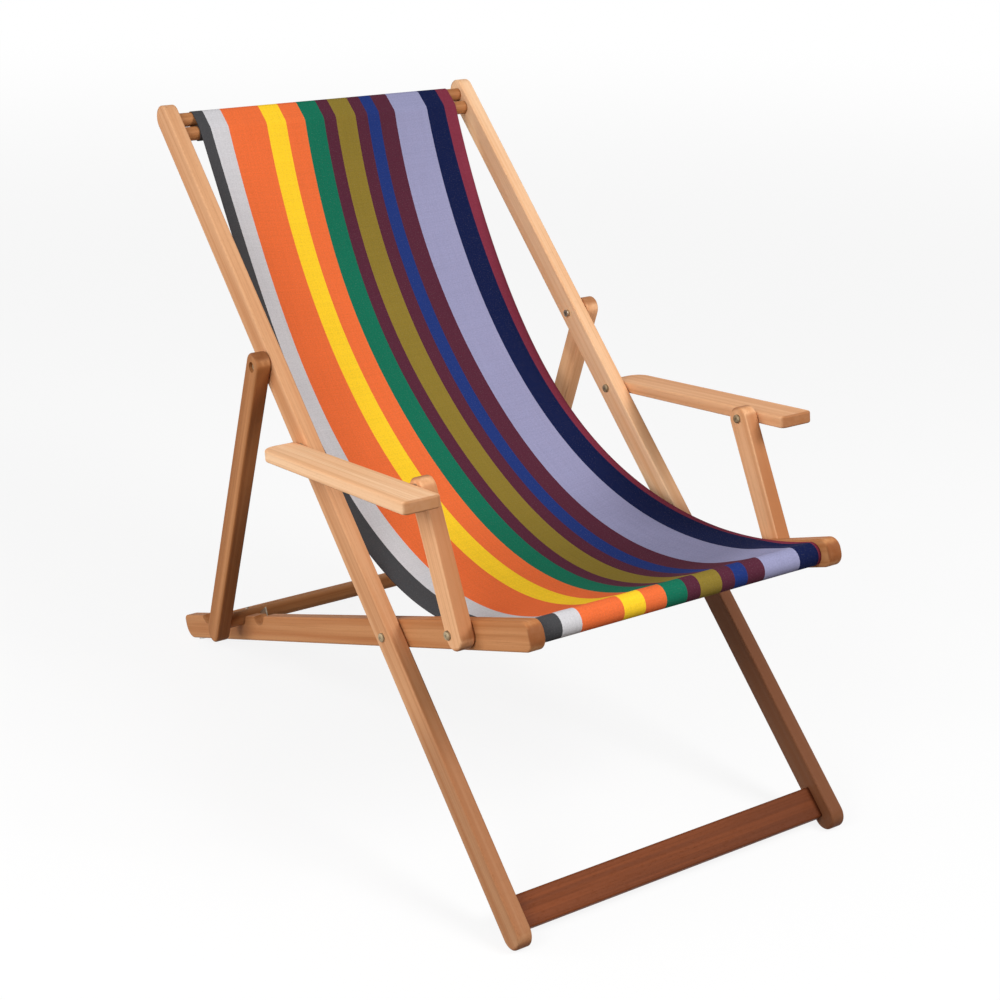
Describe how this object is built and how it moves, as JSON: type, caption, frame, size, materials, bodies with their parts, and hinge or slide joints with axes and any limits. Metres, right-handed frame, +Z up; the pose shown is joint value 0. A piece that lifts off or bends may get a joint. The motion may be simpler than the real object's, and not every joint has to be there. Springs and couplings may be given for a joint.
{
  "type": "folding sling deck chair",
  "caption": "Folding wooden deck chair with a striped fabric sling, flat armrests and a notched rack that sets the recline.",
  "frame": {"origin": "on the floor, midway between the sides, straight below the main pivots", "axes": "+Z up, -Y the front where the feet point, X across the chair"},
  "size_m": [0.689, 1.0768, 0.9332],
  "materials": {
    "beech": "oiled, satin",
    "canvas": "woven multicolour stripes, matt",
    "zinc_steel": "zinc plated",
    "glide_steel": "dark, worn"
  },
  "bodies": {
    "seat_frame": {"seat_rail_left": "beech", "seat_rail_right": "beech", "seat_front_dowel": "beech", "seat_rear_dowel": "beech", "heel_glides": "glide_steel", "rack_keepers": "zinc_steel", "rack_keeper_screws": "zinc_steel", "strut_foot_bolts": "zinc_steel", "strut_foot_washers": "zinc_steel", "strut_foot_nuts": "zinc_steel", "sling": "canvas"},
    "back_frame": {"back_stile_left": "beech", "back_stile_right": "beech", "back_crossboard": "beech", "crossboard_pins": "beech", "top_dowel_upper": "beech", "top_dowel_lower": "beech", "main_pivot_bolts": "zinc_steel", "main_pivot_washers": "zinc_steel", "main_pivot_nuts": "zinc_steel", "arm_pivot_bolts": "zinc_steel", "arm_pivot_washers": "zinc_steel"},
    "prop_frame": {"prop_strut_left": "beech", "prop_strut_right": "beech", "prop_dowel": "beech", "prop_pivot_bolts": "zinc_steel", "prop_pivot_washers": "zinc_steel", "prop_pivot_nuts": "zinc_steel"},
    "armrest_left": {"armrest_left": "beech", "armrest_bushes_left": "zinc_steel"},
    "arm_strut_left": {"arm_strut_left": "beech", "strut_top_bolt_left": "zinc_steel", "strut_top_washer_left": "zinc_steel"},
    "armrest_right": {"armrest_right": "beech", "armrest_bushes_right": "zinc_steel"},
    "arm_strut_right": {"arm_strut_right": "beech", "strut_top_bolt_right": "zinc_steel", "strut_top_washer_right": "zinc_steel"}
  },
  "joints": [
    {"name": "fold", "type": "hinge", "parent": "seat_frame", "child": "back_frame", "pos_m": [0, 0, 0.30719], "axis": [-1, 0, 0], "range_deg": [0, 48], "deforming": ["sling"]},
    {"name": "prop_swing", "type": "hinge", "parent": "back_frame", "child": "prop_frame", "pos_m": [0, 0.34145, 0.6061], "axis": [-1, 0, 0], "range_deg": [-114, 0]},
    {"name": "armrest_left_swing", "type": "hinge", "parent": "back_frame", "child": "armrest_left", "pos_m": [0, 0.23077, 0.50921], "axis": [-1, 0, 0], "range_deg": [-30, 0]},
    {"name": "arm_strut_left_swing", "type": "hinge", "parent": "seat_frame", "child": "arm_strut_left", "pos_m": [0, -0.16986, 0.38321], "axis": [-1, 0, 0], "range_deg": [0, 55]},
    {"name": "armrest_right_swing", "type": "hinge", "parent": "back_frame", "child": "armrest_right", "pos_m": [0, 0.23077, 0.50921], "axis": [-1, 0, 0], "range_deg": [-30, 0]},
    {"name": "arm_strut_right_swing", "type": "hinge", "parent": "seat_frame", "child": "arm_strut_right", "pos_m": [0, -0.16986, 0.38321], "axis": [-1, 0, 0], "range_deg": [0, 55]}
  ],
  "couplings": [
    {"joint": "prop_swing", "follows": "fold", "ratio": -2.3502},
    {"joint": "armrest_left_swing", "follows": "fold", "ratio": -0.612},
    {"joint": "arm_strut_left_swing", "follows": "fold", "ratio": 1.127},
    {"joint": "armrest_right_swing", "follows": "fold", "ratio": -0.612},
    {"joint": "arm_strut_right_swing", "follows": "fold", "ratio": 1.127}
  ]
}
